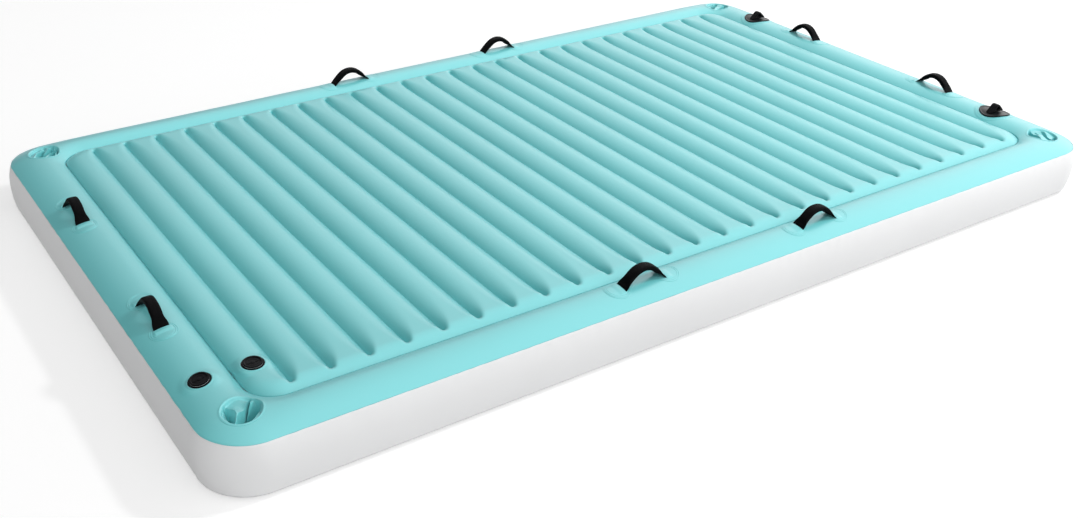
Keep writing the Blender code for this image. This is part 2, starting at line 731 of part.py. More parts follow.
def add_seat(name, parent, place, tilt):
    seat = bpy.data.objects.new(name, None)
    bpy.context.collection.objects.link(seat)
    seat.parent = parent
    seat.location = place
    seat.rotation_euler = (tilt, 0, 0)
    return seat


def add_valves(frames, ring_skin, deck_skin, black, grey):
    """Both valves lie side by side at the near end of the left edge. The ring's one tilts
    with the skin under it, and the deck's one lies level on the crown of the first rib."""
    left = frames[3]
    share = (RING_VALVE_INSET - SEAM_INSET) / (END_RING_WIDTH - SEAM_INSET)
    step = SHEET / END_RING_WIDTH
    climb = float(ring_height(share + step) - ring_height(share - step))
    tilt = math.atan2(climb, 2 * step * (END_RING_WIDTH - SEAM_INSET))
    height = float(ring_height(share)) + GAP
    place = HALF_WIDTH - VALVE_CORNER_INSET
    seat = add_seat("ring_valve_seat", left, (place, RING_VALVE_INSET, height), tilt)
    add_valve("ring_valve", seat, ring_skin, black, grey)
    inset = END_RING_WIDTH + RIB_PITCH / 2
    seat = add_seat("deck_valve_seat", left, (place, inset, DECK_HEIGHT + GAP), 0)
    add_valve("deck_valve", seat, deck_skin, black, grey)


def add_tow_lug(number, frame, place, black):
    """A moulded base that follows the ring, and an arched eye with a hole along the edge."""
    points, faces = moulded_pad(
        LUG_BASE_RADIUS, LUG_BASE_RADIUS, LUG_INSET, LUG_BASE_THICKNESS, END_RING_WIDTH
    )
    name = f"tow_lug_{number}"
    base = add_mesh(name, points, faces, black, frame, (place, 0, 0))
    across = np.linspace(LUG_INSET - LUG_FOOT_HALF_LENGTH, LUG_INSET + LUG_FOOT_HALF_LENGTH, 5)
    bottom = faceted_ring_height(across, END_RING_WIDTH) + GAP + LUG_BASE_THICKNESS / 2
    centre = float(faceted_ring_height(LUG_INSET, END_RING_WIDTH)) + LUG_EYE_HEIGHT
    foot = (LUG_FOOT_HALF_LENGTH, centre - float(bottom[-1]))
    start = math.acos(LUG_EYE_RADIUS / math.hypot(*foot)) - math.atan2(foot[1], foot[0])
    angles = np.linspace(start, math.pi - start, LUG_STEPS // 2 + 1)
    arch = [
        (LUG_INSET + LUG_EYE_RADIUS * math.cos(angle), centre + LUG_EYE_RADIUS * math.sin(angle))
        for angle in angles
    ]
    half = LUG_EYE_THICKNESS / 2
    points, faces = prism(list(zip(across, bottom)) + arch, -half, half, axis=0)
    eye = add_mesh(f"{name}_eye", points, faces, None, frame, (place, 0, 0))
    boolean(base, eye, "UNION")
    angles = np.linspace(0, 2 * math.pi, LUG_STEPS, endpoint=False)
    outline = [
        (LUG_INSET + LUG_HOLE_RADIUS * math.cos(angle), centre + LUG_HOLE_RADIUS * math.sin(angle))
        for angle in angles
    ]
    points, faces = prism(outline, -half - OVERRUN, half + OVERRUN, axis=0)
    hole = add_mesh(f"{name}_hole", points, faces, None, frame, (place, 0, 0))
    boolean(base, hole, "DIFFERENCE")


def main():
    clear_scene()
    aqua = finish("aqua_vinyl", (0.30, 0.72, 0.72), 0.35)
    white = finish("white_vinyl", (0.86, 0.87, 0.88), 0.40)
    black = finish("black_webbing", (0.015, 0.015, 0.017), 0.70)
    rubber = finish("black_rubber", (0.02, 0.02, 0.022), 0.50)
    plastic = finish("black_plastic", (0.012, 0.012, 0.014), 0.35)
    grey = finish("grey_silicone", (0.35, 0.36, 0.37), 0.45)

    ring_skins = add_ring_skins(aqua)
    add_ring_walls(white)
    deck_skin = add_deck_chamber(aqua, white)
    add_chamber_wall(white)
    add_deck_strips(white)
    add_cup_wells(ring_skins, aqua)
    frames = edge_frames()
    add_handles(frames, black, aqua)
    add_valves(frames, ring_skins["left"], deck_skin, plastic, grey)
    for number, place in enumerate((-LUG_PLACE, LUG_PLACE), 1):
        add_tow_lug(number, frames[1], place, rubber)


main()
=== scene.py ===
"""Visual model of an inflatable lounge mat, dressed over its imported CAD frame.

Metres, +Z up, as the frame: the near long side is at -Y, the valves at -X and the tow lugs at +X.
"""

import json
import math

import bpy
import numpy as np
from mathutils import Matrix, Vector


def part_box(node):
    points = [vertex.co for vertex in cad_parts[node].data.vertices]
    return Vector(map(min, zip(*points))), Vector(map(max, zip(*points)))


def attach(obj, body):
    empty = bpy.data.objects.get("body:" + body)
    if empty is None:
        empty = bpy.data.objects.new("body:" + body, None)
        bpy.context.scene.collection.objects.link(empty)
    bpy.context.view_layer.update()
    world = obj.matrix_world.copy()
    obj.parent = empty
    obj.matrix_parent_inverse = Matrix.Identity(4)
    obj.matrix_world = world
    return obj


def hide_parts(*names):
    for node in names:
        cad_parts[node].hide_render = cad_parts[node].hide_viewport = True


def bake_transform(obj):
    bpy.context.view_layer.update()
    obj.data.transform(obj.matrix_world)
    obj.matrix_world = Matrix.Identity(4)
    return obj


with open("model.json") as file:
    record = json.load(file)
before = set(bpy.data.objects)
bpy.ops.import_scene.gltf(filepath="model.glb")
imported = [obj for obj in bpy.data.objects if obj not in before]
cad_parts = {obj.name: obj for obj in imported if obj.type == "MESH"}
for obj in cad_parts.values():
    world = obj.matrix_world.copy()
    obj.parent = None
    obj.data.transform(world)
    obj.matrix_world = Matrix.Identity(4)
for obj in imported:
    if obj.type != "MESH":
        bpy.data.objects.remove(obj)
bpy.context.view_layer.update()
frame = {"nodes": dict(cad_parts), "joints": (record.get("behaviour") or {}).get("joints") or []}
joints = {joint["name"]: joint for joint in frame["joints"]}


# The camera stands off the mat's near left corner, a little above standing height, and looks
# down across it. Its shift only matches the photograph's crop.
camera_place = (-2.17090, -2.90027, 1.81178)
camera_right = (0.84248, -0.53865, 0.00874)
camera_up = (0.25594, 0.41448, 0.87333)
camera_back = tuple(np.cross(camera_right, camera_up))
camera = bpy.data.objects.new("camera", bpy.data.cameras.new("camera"))
bpy.context.scene.collection.objects.link(camera)
camera_columns = (camera_right, camera_up, camera_back, camera_place)
camera.matrix_world = Matrix([list(row) for row in zip(*camera_columns)] + [[0, 0, 0, 1]])
camera.data.sensor_width = 36
camera.data.lens = 40.43
camera.data.shift_x = 0.0577
camera.data.shift_y = -0.0133
bpy.context.scene.camera = camera
bpy.context.scene.view_settings.view_transform = "Standard"


# The floor is a plain pale sheet under everything. The camera sees it and the world as white.
# The world lights the mat more from the front than from behind, and reflections show a softbox
# high on the right. One key lamp stands high beyond the near right corner.
class Shade:
    """A shader socket that takes part in Python sums: sums and products with it add Math nodes to
    its material. The nodes that recur have short calls, and add makes any other kind."""

    def __init__(self, tree, socket=None):
        self.tree, self.socket = tree, socket

    def add(self, kind, settings=None, sockets=None, out=0):
        """Adds a node: its settings first, then its sockets, each a value or another Shade."""
        node = self.tree.nodes.new(kind)
        for name, value in (settings or {}).items():
            setattr(node, name, value)
        for name, value in (sockets or {}).items():
            if isinstance(value, Shade):
                self.tree.links.new(value.socket, node.inputs[name])
            else:
                node.inputs[name].default_value = value
        return Shade(self.tree, node.outputs[out])

    def parts(self, vector):
        """The X, Y and Z of a vector."""
        first = self.add("ShaderNodeSeparateXYZ", {}, {0: vector})
        return [Shade(self.tree, socket) for socket in first.socket.node.outputs]

    def noise(self, place, scale, detail):
        """A noise between 0 and 1, with that many cells to the metre."""
        sockets = {"Vector": place, "Scale": scale, "Detail": detail}
        return self.add("ShaderNodeTexNoise", {}, sockets)

    def colour_between(self, share, first, second):
        """A colour on the way from the first to the second."""
        sockets = {0: share, 6: first, 7: second}
        return self.add("ShaderNodeMix", {"data_type": "RGBA"}, sockets, out=2)

    def bump(self, height, strength, distance):
        """The normal of a surface with that relief."""
        sockets = {"Strength": strength, "Distance": distance, "Height": height}
        return self.add("ShaderNodeBump", {}, sockets)

    def wave(self, along, length):
        """A sine wave of that length."""
        return self.maths("SINE", along * (2 * math.pi / length), 0.0)

    def maths(self, operation, first, second):
        return self.add("ShaderNodeMath", {"operation": operation}, {0: first, 1: second})

    def __add__(self, other):
        return self.maths("ADD", self, other)

    def __sub__(self, other):
        return self.maths("SUBTRACT", self, other)

    def __mul__(self, other):
        return self.maths("MULTIPLY", self, other)

    def __rsub__(self, other):
        return self.maths("SUBTRACT", other, self)

    __radd__ = __add__
    __rmul__ = __mul__


def new_material(name, roughness, **constants):
    """A Principled material: its tree as a Shade, with the constants set on its own sockets."""
    material = bpy.data.materials.new(name)
    material.use_nodes = True
    shader = material.node_tree.nodes["Principled BSDF"]
    shader.inputs["Roughness"].default_value = roughness
    for socket, value in constants.items():
        shader.inputs[socket.replace("_", " ")].default_value = value
    return material, Shade(material.node_tree), shader


def connect(shade, shader, name):
    """Links a Shade to the shader's socket of that name."""
    shade.tree.links.new(shade.socket, shader.inputs[name])


def ray_kinds(graph):
    """1 on a ray from the camera, and 1 on a ray that a surface reflects."""
    kinds = ("Is Camera Ray", "Is Glossy Ray")
    return [graph.add("ShaderNodeLightPath", out=kind) for kind in kinds]


floor_reach = 30.0
floor_corners = [(x * floor_reach, y * floor_reach, 0) for x, y in ((-1, -1), (1, -1), (1, 1), (-1, 1))]
floor_mesh = bpy.data.meshes.new("floor")
floor_mesh.from_pydata(floor_corners, [], [(0, 1, 2, 3)])
floor = bpy.data.objects.new("floor", floor_mesh)
bpy.context.scene.collection.objects.link(floor)
white = (1, 1, 1, 1)
floor_paint, graph, shader = new_material(
    "floor_paint", 0.9, Base_Color=(0.66, 0.66, 0.66, 1), Emission_Color=white
)
seen, glossed = ray_kinds(graph)
lift = graph.maths("MAXIMUM", seen, glossed) * 0.48
connect(lift, shader, "Emission Strength")
floor_mesh.materials.append(floor_paint)

world = bpy.data.worlds.new("studio")
bpy.context.scene.world = world
world.use_nodes = True
graph = Shade(world.node_tree)
seen, glossed = ray_kinds(graph)
right, behind, above = graph.parts(graph.add("ShaderNodeTexCoord"))
room = graph.maths("MAXIMUM", right * -0.02 - behind * 0.88 + above * 0.10 + 0.48, 0.08)
softbox = graph.maths("MAXIMUM", right * 2.5 - behind * 0.2 + above * 2.5 - 0.4, 0.1)
unseen = room + (softbox - room) * glossed
sky = world.node_tree.nodes["Background"]
sky.inputs["Color"].default_value = white
connect(unseen + (1.0 - unseen) * seen, sky, "Strength")

key_place, key_target = Vector((3.4, -1.7, 4.4)), Vector((0.0, 0.0, 0.1))
key_lamp = bpy.data.objects.new("key_lamp", bpy.data.lights.new("key_lamp", "AREA"))
key_lamp.data.size = 0.5
key_lamp.data.energy = 130
key_turn = (key_target - key_place).to_track_quat("-Z", "Y").to_matrix().to_4x4()
key_lamp.matrix_world = Matrix.Translation(key_place) @ key_turn
key_lamp.visible_glossy = False
bpy.context.scene.collection.objects.link(key_lamp)


# The ring chamber is a tube of vinyl round the deck: an aqua top with a crown, a white side
# wall between two lap welds, and a white underside that is flat where it rests. Its plan is a
# rounded rectangle, and so is the groove's.
half_length, half_width, mat_height = 1.55, 0.915, 0.18
outer_corner, groove_corner = 0.14, 0.085
groove_x, groove_y = 1.389, 0.775
seam_inset, seam_height = 0.012, 0.1525
base_inset, base_height = 0.008, 0.014
wall_widest = 0.085
groove_depth, crown_share = 0.0215, 0.62
under_channel = 0.024
sheet = 0.0005


def rounded_loop(half_x, half_y, radius):
    """A rounded rectangle in plan, anticlockwise from the +X end: four quarter circles of even
    steps, joined by straight runs of even steps."""
    long_steps, short_steps, corner_steps = 350, 196, 26
    arcs = []
    for quarter, (side_x, side_y) in enumerate(((1, 1), (-1, 1), (-1, -1), (1, -1))):
        turn = (np.linspace(0, 1, corner_steps + 1) + quarter) * np.pi / 2
        centre = np.array([side_x * (half_x - radius), side_y * (half_y - radius)])
        arcs.append(centre + radius * np.stack([np.cos(turn), np.sin(turn)], axis=1))
    parts = []
    for quarter, steps in enumerate((long_steps, short_steps, long_steps, short_steps)):
        arc, following = arcs[quarter], arcs[(quarter + 1) % 4]
        share = np.arange(1, steps)[:, None] / steps
        parts += [arc, arc[-1] + (following[0] - arc[-1]) * share]
    return np.concatenate(parts)


def outer_loop(inset):
    """The mat's outline in plan, drawn in by that much."""
    return rounded_loop(half_length - inset, half_width - inset, outer_corner - inset)


def between(outer, inner, share):
    """A plan grid from one loop in to another, with a row at each share of the way."""
    return outer[:, None] * (1 - share[:, None]) + inner[:, None] * share[:, None]


def inside_rounded(x, y, half_x, half_y, radius):
    """Distance from a point in to the edge of a rounded rectangle, positive inside."""
    over_x, over_y = np.abs(x) - (half_x - radius), np.abs(y) - (half_y - radius)
    beyond = np.hypot(np.maximum(over_x, 0), np.maximum(over_y, 0))
    return radius - beyond - np.minimum(np.maximum(over_x, over_y), 0)


def smooth(low, high, value):
    """0 below low and 1 above high, with a smooth cubic step between."""
    share = np.clip((value - low) / (high - low), 0, 1)
    return share * share * (3 - 2 * share)


def waves(x, y, seed, scale, count=24):
    """Gentle random relief between about -1 and 1: a sum of sines of random directions and
    phases, whose wavelengths lie round the scale."""
    random = np.random.default_rng(seed)
    turn, phase = random.uniform(0, 2 * np.pi, (2, count))
    step = 2 * np.pi / (scale * random.uniform(0.6, 1.8, count))
    total = np.zeros(np.broadcast(x, y).shape)
    for k in range(count):
        total += np.sin(step[k] * (x * np.cos(turn[k]) + y * np.sin(turn[k])) + phase[k])
    return total / math.sqrt(count)


def levelled(height, x, y, joint):
    """A skin's height, levelled to a valve's seat plane under its flange and let go beyond it."""
    seat, normal = joint["pos_m"], joint["axis"]
    flange_gap, flange_reach, level_reach = 0.0003, 0.030, 0.052
    fall = (normal[0] * (x - seat[0]) + normal[1] * (y - seat[1])) / normal[2]
    held = 1 - smooth(flange_reach, level_reach, np.hypot(x - seat[0], y - seat[1]))
    return height + (seat[2] - flange_gap - fall - height) * held


def ring_top(x, y):
    """Height of the ring's top: two parabolas meet at the crown, by the share of the way from
    the seam to the groove, with a slow unevenness of the inflated sheet."""
    plan = half_length - seam_inset, half_width - seam_inset, outer_corner - seam_inset
    seam = inside_rounded(x, y, *plan)
    groove = -inside_rounded(x, y, groove_x, groove_y, groove_corner)
    share = np.clip(seam / (seam + groove), 0, 1)
    outer = np.clip((crown_share - share) / crown_share, 0, 1)
    inner = np.clip((share - crown_share) / (1 - crown_share), 0, 1)
    height = mat_height - (mat_height - seam_height) * outer**2 - groove_depth * inner**2
    height = height + 0.0005 * waves(x, y, 3, 0.35) * np.sin(np.pi * share)
    return levelled(height, x, y, joints["ring_valve_check"])


def grid_faces(columns, rows, loop):
    """Quads of a grid whose points run down each column; loop joins the last column to the first."""
    first = np.arange(columns if loop else columns - 1)
    across = (first + 1) % columns
    down = np.arange(rows - 1)
    a = (first[:, None] * rows + down).ravel()
    b = (across[:, None] * rows + down).ravel()
    return np.stack([a, b, b + 1, a + 1], axis=1)


def opened(plan, faces, x, y, radius):
    """A grid in plan with a round hole: faces inside it go, and points move out to its edge."""
    offset = plan - np.array([x, y])
    away = np.hypot(offset[..., 0], offset[..., 1])
    faces = faces[(away.ravel()[faces] > radius).any(axis=1)]
    push = np.maximum(radius / np.maximum(away, 0.001), 1)
    return np.array([x, y]) + offset * push[..., None], faces


def raised(plan, height):
    """Points of a surface: places in plan, with the height of each."""
    height = np.broadcast_to(height, plan.shape[:2])
    return np.concatenate([plan, height[..., None]], axis=2).reshape(-1, 3)


def add_piece(name, points, faces, material, uv=None, sharp=40):
    """A mesh object from arrays of points and quads, with an optional UV for each point. It is
    shaded smooth but for edges sharper than that many degrees."""
    mesh = bpy.data.meshes.new(name)
    mesh.vertices.add(len(points))
    mesh.vertices.foreach_set("co", np.ascontiguousarray(points, np.float32).ravel())
    sides = faces.shape[1]
    mesh.loops.add(faces.size)
    mesh.loops.foreach_set("vertex_index", np.ascontiguousarray(faces, np.int32).ravel())
    mesh.polygons.add(len(faces))
    mesh.polygons.foreach_set("loop_start", np.arange(0, faces.size, sides, dtype=np.int32))
    mesh.update(calc_edges=True)
    if uv is not None:
        layer = mesh.uv_layers.new(name="surface")
        layer.data.foreach_set("uv", np.ascontiguousarray(uv[faces.ravel()], np.float32).ravel())
    mesh.validate()
    mesh.shade_smooth()
    mesh.set_sharp_from_angle(angle=math.radians(sharp))
    mesh.materials.append(material)
    piece = bpy.data.objects.new(name, mesh)
    bpy.context.scene.collection.objects.link(piece)
    return piece


def thicken(piece, thickness):
    """Gives a sheet its thickness, behind the faces that it shows."""
    solid = piece.modifiers.new("thickness", "SOLIDIFY")
    solid.thickness, solid.offset = thickness, -1


def vinyl(name, colour, roughness, sheen, shine):
    """Soft sheet vinyl: a faint cloudiness in colour and gloss, under a very fine grain."""
    material, graph, shader = new_material(
        name,
        roughness,
        Specular_IOR_Level=shine,
        Specular_Tint=(0.90, 0.94, 1.0, 1),
        Sheen_Weight=sheen,
        Sheen_Roughness=0.5,
        Sheen_Tint=(0.80, 0.86, 1.0, 1),
    )
    place = graph.add("ShaderNodeTexCoord", out="Object")
    cloud = graph.noise(place, 2.2, 3.0)
    grain = graph.noise(place, 650.0, 2.0)
    mottle = graph.noise(place, 38.0, 4.0)
    dim, bright = (tuple(min(1.0, part * gain) for part in colour) + (1,) for gain in (0.95, 1.04))
    connect(graph.colour_between(cloud, dim, bright), shader, "Base Color")
    gloss = roughness - 0.09 + cloud * 0.08 + mottle * 0.07 + grain * 0.03
    connect(gloss, shader, "Roughness")
    connect(graph.bump(grain * 0.4 + mottle, 0.12, 0.0006), shader, "Normal")
    return material


aqua_vinyl = vinyl("aqua_vinyl", (0.145, 0.580, 0.595), 0.36, 0.2, 1.0)
white_vinyl = vinyl("white_vinyl", (0.82, 0.825, 0.83), 0.50, 0.0, 0.2)

cup_names = [f"cup_well_{number}" for number in (1, 2, 3, 4)]
cup_places = [tuple((low + high) / 2 for low, high in zip(*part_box(name)))[:2] for name in cup_names]
cup_radius, valve_hole = 0.0485, 0.0225
seam_lap = 0.0012

seam_plan = outer_loop(seam_inset)
groove_plan = rounded_loop(groove_x, groove_y, groove_corner)
share = np.concatenate([[0, 0.012], np.linspace(0.03, 0.97, 26), [1]])
plan = between(seam_plan, groove_plan, share)
faces = grid_faces(len(seam_plan), len(share), True)
for x, y in cup_places:
    plan, faces = opened(plan, faces, x, y, cup_radius)
plan, faces = opened(plan, faces, *joints["ring_valve_check"]["pos_m"][:2], valve_hole)
height = ring_top(plan[..., 0], plan[..., 1])
height[:, -1] = mat_height - groove_depth
height[:, 0] = seam_height - seam_lap
ring_piece = add_piece("ring_top", raised(plan, height), faces, aqua_vinyl)
thicken(ring_piece, sheet)
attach(ring_piece, "mat")
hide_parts(*[name for name in frame["nodes"] if name.startswith("ring_skin")])

# The side wall bulges to its widest height, and puckers a little near both welds.
lap, lap_over = 0.004, 0.0004
middle_levels = np.linspace(seam_height - 2 * lap, base_height + 2 * lap, 16)
level = np.concatenate(
    [[seam_height + lap_over, seam_height - lap], middle_levels, [base_height + lap, base_height]]
)
upper = np.clip((level - wall_widest) / (seam_height - wall_widest), 0, 1)
lower = np.clip((wall_widest - level) / (wall_widest - base_height), 0, 1)
bulge, step_length, inwards = 2.2, 0.0078, 0.05
inset = seam_inset * upper**bulge + base_inset * lower**bulge
loops = np.stack([outer_loop(level_inset) for level_inset in inset], axis=1)
run = np.arange(len(loops))[:, None] * step_length
from_seam, from_base = seam_height - level, level - base_height
pinch = np.exp(-(from_seam / 0.022)) + 0.7 * np.exp(-(from_base / 0.018))
pucker, pucker_length = 0.0004, 0.045
ripple = pucker * pinch * waves(run, level * 1.5, 11, pucker_length)
outward = loops - outer_loop(inwards)[:, None]
outward /= np.linalg.norm(outward, axis=2, keepdims=True)
points = raised(loops + outward * ripple[..., None], level)
faces = grid_faces(len(loops), len(level), True)[:, ::-1]
side_piece = add_piece("side_band", points, faces, white_vinyl)
thicken(side_piece, sheet)
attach(side_piece, "mat")
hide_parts("side_wall")

# The underside rises to the side wall's lower weld and to the groove, and is flat between.
foot_start, foot_end, foot_height = 0.24, 0.76, 0.0004
share = np.concatenate([np.linspace(0, foot_start, 8), [0.5], np.linspace(foot_end, 1, 8)])
plan = between(outer_loop(base_inset), groove_plan, share)
outer = np.clip(1 - share / foot_start, 0, 1)
inner = np.clip((share - foot_end) / (1 - foot_end), 0, 1)
level = foot_height + (base_height - 0.0006) * outer**2 + under_channel * inner**2
faces = grid_faces(len(plan), len(share), True)[:, ::-1]
base_piece = add_piece("ring_base", raised(plan, level), faces, white_vinyl)
thicken(base_piece, sheet)
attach(base_piece, "mat")
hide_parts("ring_underside")


# The deck chamber lies inside the groove: 27 ribs of aqua vinyl swell between straight channels,
# which inner strips hold down. Each channel ends in a narrow round tip short of the groove. The
# white underside has the same ribs, flat where they stand.
rib_count = 27
rib_pitch = 2 * groove_x / rib_count
rib_height, deck_low = 0.0185, 0.1585
border_width = 0.046
under_border, under_rise, under_low = 0.05, 0.025, 0.0006


def arc_share(away, half_span, height):
    """Height share of a circular arc of that half span and height: 1 at away 0, and 0 at the
    span and beyond."""
    radius = (half_span**2 + height**2) / (2 * height)
    reach = np.minimum(np.abs(away), half_span)
    return 1 - (radius - np.sqrt(radius**2 - reach**2)) / height


def side_edge(x):
    """How far the groove reaches in Y at a place along the length."""
    within = np.maximum(np.abs(x) - (groove_x - groove_corner), 0)
    return groove_y - groove_corner + np.sqrt(np.maximum(groove_corner**2 - within**2, 0))


def channel_share(x, y, tip_place, tip_radius, flare):
    """0 along each channel and 1 on the crests between them. A channel's flanks draw together
    towards its tip, which is a round pit of that radius, that far from the groove."""
    place = (x + groove_x) / rib_pitch
    nearest = np.clip(np.round(place), 1, rib_count - 1)
    away = np.abs(place - nearest) * rib_pitch
    inwards = side_edge(x) - np.abs(y) - tip_place
    opening = 1 - np.exp(-np.maximum(inwards - tip_radius, 0) / flare)
    width = tip_radius + (rib_pitch / 2 - tip_radius) * opening
    reach = np.hypot(away, np.maximum(tip_radius - inwards, 0))
    share = np.clip(reach / width, 0, 1)
    return arc_share(1 - share, 1, rib_height * 2 / rib_pitch)


def deck_top(x, y):
    """Height of the deck: a border that rises from the groove on a circular arc, and the crests
    of the ribs, lowered by the channels."""
    depth = inside_rounded(x, y, groove_x, groove_y, groove_corner)
    over_x = np.maximum(np.abs(x) - (groove_x - groove_corner), 0)
    over_y = np.maximum(np.abs(y) - (groove_y - groove_corner), 0)
    endwards = over_x**2 / np.maximum(over_x**2 + over_y**2, 1e-9)
    width = border_width + (rib_pitch / 2 - border_width) * endwards
    border = arc_share(width - np.clip(depth, 0, width), width, rib_height)
    channel = channel_share(x, y, tip_place=0.016, tip_radius=0.017, flare=0.055)
    crest = 1 + 0.010 * waves(x, y, 5, 0.5)
    height = deck_low + rib_height * border * channel * crest
    return levelled(height, x, y, joints["deck_valve_check"])


def deck_base(x, y):
    """Height of the deck's underside: the border and the channels lie above the floor, and the
    ribs between them rest flat on it."""
    depth = inside_rounded(x, y, groove_x, groove_y, groove_corner)
    border = arc_share(under_border - np.clip(depth, 0, under_border), under_border, under_rise)
    channel = channel_share(x, y, tip_place=0.020, tip_radius=0.020, flare=0.055)
    return np.maximum(under_channel * (1 - 1.25 * border * channel), under_low)


# The grid's rows are close together near the groove, where the ribs end, and even between.
rib_steps, close_reach, even_start = 18, 0.210, 0.23
x = np.linspace(-1, 1, rib_count * rib_steps + 1) * groove_x
edge = side_edge(x)[:, None]
close_rows = np.concatenate([[0, 0.0015, 0.004, 0.007], np.linspace(0.010, close_reach, 62)])
even_rows = (edge - even_start) * np.linspace(1, 0, 14)
half_rows = np.concatenate([close_rows - edge, -even_rows], axis=1)
rows = np.concatenate([half_rows, -half_rows[:, -2::-1]], axis=1)
grid = np.stack([np.broadcast_to(x[:, None], rows.shape), rows], axis=2)
faces = grid_faces(*rows.shape, False)
plan, top_faces = opened(grid, faces, *joints["deck_valve_check"]["pos_m"][:2], valve_hole)
points = raised(plan, deck_top(plan[..., 0], plan[..., 1]))
deck_piece = add_piece("deck_top", points, top_faces, aqua_vinyl)
thicken(deck_piece, sheet)
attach(deck_piece, "mat")
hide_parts("deck_skin")

points = raised(grid, deck_base(grid[..., 0], grid[..., 1]))
base_piece = add_piece("deck_base", points, faces[:, ::-1], white_vinyl)
thicken(base_piece, sheet)
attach(base_piece, "mat")
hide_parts("deck_underside")


# Inside, out of sight, an upright wall parts the two chambers under the groove, and a strip
# under each channel ties the deck's top to its underside. All are white vinyl, welded at their
# upper and lower edges.
weld_gap, wall_gap, strip_inset = 0.0008, 0.0003, 0.095
level = np.linspace(under_channel + weld_gap, deck_low - weld_gap, 9)
plan = rounded_loop(groove_x - wall_gap, groove_y - wall_gap, groove_corner)[:, None]
points = raised(np.repeat(plan, len(level), axis=1), level)
faces = grid_faces(len(plan), len(level), True)
wall_piece = add_piece("chamber_wall_sheet", points, faces, white_vinyl)
thicken(wall_piece, sheet)
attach(wall_piece, "mat")
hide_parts("chamber_wall")

channels = (np.arange(1, rib_count) / rib_count * 2 - 1) * groove_x
along = np.linspace(-1, 1, 90) * (groove_y - strip_inset)
points = np.stack(np.broadcast_arrays(channels[:, None, None], along[:, None], level), axis=3)
one_strip = grid_faces(len(along), len(level), False)
first_point = np.arange(len(channels))[:, None, None] * len(along) * len(level)
faces = (one_strip + first_point).reshape(-1, 4)
strip_piece = add_piece("tie_strips", points.reshape(-1, 3), faces, white_vinyl)
thicken(strip_piece, sheet)
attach(strip_piece, "mat")
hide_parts("deck_strips")


# A cup well hangs in each corner of the ring from a welded rim. The air round it presses its
# vinyl wall into folds, so it shows as pillows between creases, as the photograph has it.
def full_turn(steps):
    """That many even angles round a circle."""
    return np.linspace(0, 2 * np.pi, steps, endpoint=False)


def tube_faces(rows, around, loop):
    """Quads between loops of that many points; loop joins the last loop to the first."""
    down = np.arange(rows if loop else rows - 1)[:, None]
    turn = np.arange(around)
    here, below = down * around, (down + 1) % rows * around
    following = (turn + 1) % around
    corners = np.broadcast_arrays(here + turn, below + turn, below + following, here + following)
    return np.stack(corners, axis=2).reshape(-1, 4)


def cap_faces(row, around):
    """A row of quads over the loop in that row, from its first point across to its last."""
    k = np.arange(around // 2 - 1)
    cap = np.stack([k, k + 1, around - 2 - k, around - 1 - k], axis=1)
    return cap + row * around


def laid_pad(surface, x, y, rise):
    """Points of a pad laid on a surface: its loops raised that far above the height there."""
    return np.stack([x, y, surface(x, y) + rise], axis=2).reshape(-1, 3)


def crumple(across, away, creases):
    """Depth of a cup well's folds on the unit disc. Each crease is a line with a depth and a
    width to its left and right, and is deepest half-way along. The folds swell between creases
    and fade at the rim."""
    sag, unevenness, rim_fade = 0.006, 0.0025, 0.13
    depth = sag + unevenness * waves(across, away, 21, 1.1)
    for x0, y0, x1, y1, deep, left, right in creases:
        run_x, run_y = x1 - x0, y1 - y0
        place = ((across - x0) * run_x + (away - y0) * run_y) / (run_x**2 + run_y**2)
        place = np.clip(place, 0, 1)
        off_x, off_y = across - x0 - place * run_x, away - y0 - place * run_y
        width = np.where(run_x * off_y - run_y * off_x > 0, left, right)
        slope = 1 - np.clip(np.hypot(off_x, off_y) / width, 0, 1)
        middle = 0.45 + 0.55 * np.sin(np.pi * place)
        depth = np.maximum(depth, deep * slope**1.3 * middle)
    radius = np.hypot(across, away)
    return depth * smooth(0, rim_fade, 1 - radius)


# Creases as the camera sees them, with each well's rim as the unit circle: two ends, the depth
# in metres, and the width to the left and right.
crease_lines = {
    "cup_well_1": (
        (-0.86, 0.15, -0.35, -0.80, 0.040, 0.42, 0.16),
        (0.24, 0.90, 0.07, -0.90, 0.060, 0.09, 0.07),
        (0.16, -0.85, 0.72, 0.55, 0.090, 0.52, 0.36),
        (-0.30, -0.92, -0.12, -0.80, 0.020, 0.12, 0.12),
    ),
    "cup_well_2": (
        (-0.66, 0.80, -0.50, -0.60, 0.060, 0.14, 0.30),
        (0.30, -0.80, -0.30, 0.50, 0.030, 0.16, 0.12),
        (0.30, -0.80, 0.20, 0.60, 0.034, 0.18, 0.14),
        (0.86, -0.02, 0.40, -0.86, 0.050, 0.20, 0.14),
    ),
    "cup_well_3": (
        (-0.50, -0.70, 0.10, 0.80, 0.070, 0.30, 0.16),
        (0.20, -0.80, 0.75, 0.30, 0.060, 0.30, 0.20),
        (-0.85, 0.20, -0.30, 0.70, 0.030, 0.20, 0.20),
    ),
    "cup_well_4": (
        (-0.22, 0.75, -0.10, -0.80, 0.040, 0.26, 0.34),
        (0.40, 0.90, 0.18, -0.80, 0.075, 0.10, 0.30),
        (0.55, 0.60, 0.62, -0.55, 0.055, 0.22, 0.24),
        (0.62, 0.90, 0.92, -0.12, 0.030, 0.10, 0.07),
    ),
}

